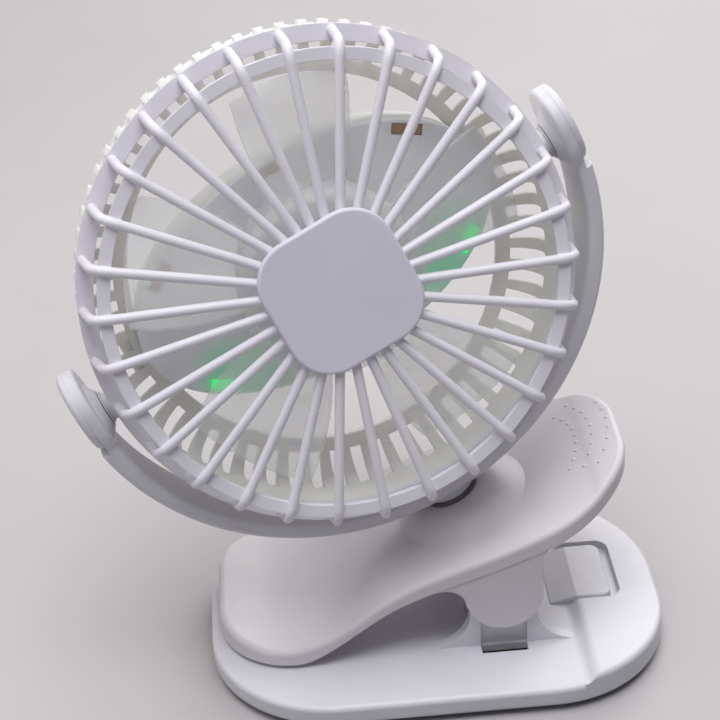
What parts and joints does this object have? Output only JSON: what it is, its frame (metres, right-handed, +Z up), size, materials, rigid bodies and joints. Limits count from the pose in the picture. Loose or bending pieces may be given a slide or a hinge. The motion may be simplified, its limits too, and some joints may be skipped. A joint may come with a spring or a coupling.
{
  "type": "clip-on desk fan",
  "caption": "Small clip-on desk fan: round caged head tilting in a C-shaped yoke, swivelling on a sprung clip lever over a wide flat base that also stands on a desk.",
  "frame": {"origin": "on the plane its soft underside rests on, midway along the base and in the middle plane of the lever", "axes": "+Z up; X along the base with the thumb end of the clip at +X; the fan faces -Y in the pictured pose"},
  "size_m": [0.1626, 0.0932, 0.1822],
  "materials": {
    "white_shell": "fine satin moulded white plastic",
    "white_guard": "satin moulded cool white plastic",
    "white_inner": "plain moulded white plastic",
    "frosted_blade": "milky translucent plastic",
    "grey_rubber": "soft matte rubber",
    "clear_rubber": "soft pale rubber",
    "dark_washer": "dark friction washer",
    "steel": "plated steel",
    "brass": "sintered bronze",
    "cell_wrap": "shrink wrap",
    "board": "solder mask",
    "black_plastic": "moulded black plastic",
    "green_led": "green lit resin"
  },
  "bodies": {
    "base": {"base_shell": "white_shell", "base_cover": "black_plastic", "base_grip": "grey_rubber", "base_screws": "steel", "base_insert": "white_shell", "lower_jaw_pad": "clear_rubber", "hinge_pins": "steel", "clip_springs": "steel"},
    "lever": {"lever": "white_shell", "upper_jaw_pad": "clear_rubber", "swivel_washer": "dark_washer"},
    "yoke": {"yoke": "white_shell", "swivel_stem": "white_inner", "stem_washer": "steel", "stem_screw": "steel", "pivot_cap_left": "white_shell", "pivot_cap_right": "white_shell"},
    "head": {"front_guard": "white_guard", "guard_cap": "white_guard", "rear_guard": "white_shell", "pod_shell": "white_shell", "pod_plate": "white_shell", "pod_screws": "steel", "pivot_screws": "steel", "pivot_washers": "white_inner", "motor_can": "steel", "motor_bush": "brass", "battery_cell": "cell_wrap", "control_board": "board", "tact_switch": "black_plastic", "leds": "green_led", "usb_socket": "steel", "led_lens": "green_led"},
    "impeller": {"impeller": "frosted_blade", "motor_shaft": "steel"},
    "button": {"power_button": "white_shell"}
  },
  "joints": [
    {"name": "clip_open", "type": "hinge", "parent": "base", "child": "lever", "pos_m": [0.0177, 0, 0.027], "axis": [0, 1, 0], "range_deg": [0, 20], "stiffness_Nm_per_rad": 1, "springref_deg": -28.65, "deforming": ["clip_springs"]},
    {"name": "yoke_swivel", "type": "hinge", "parent": "lever", "child": "yoke", "pos_m": [0.0089, 0, 0.03825], "axis": [-0.3971, 0, 0.9178], "range_deg": [-180, 180]},
    {"name": "head_tilt", "type": "hinge", "parent": "yoke", "child": "head", "pos_m": [-0.0247, 0, 0.11589], "axis": [-0.8942, -0.225, -0.387], "range_deg": [-102, 77]},
    {"name": "impeller_spin", "type": "hinge", "parent": "head", "child": "impeller", "pos_m": [-0.0247, 0, 0.11589], "axis": [0.1148, -0.9509, 0.2874], "continuous": true},
    {"name": "button_press", "type": "slide", "parent": "head", "child": "button", "axis": [0.1148, -0.9509, 0.2874], "range_m": [0, 0.0012], "stiffness_N_per_m": 300, "springref_m": -0.0005}
  ]
}
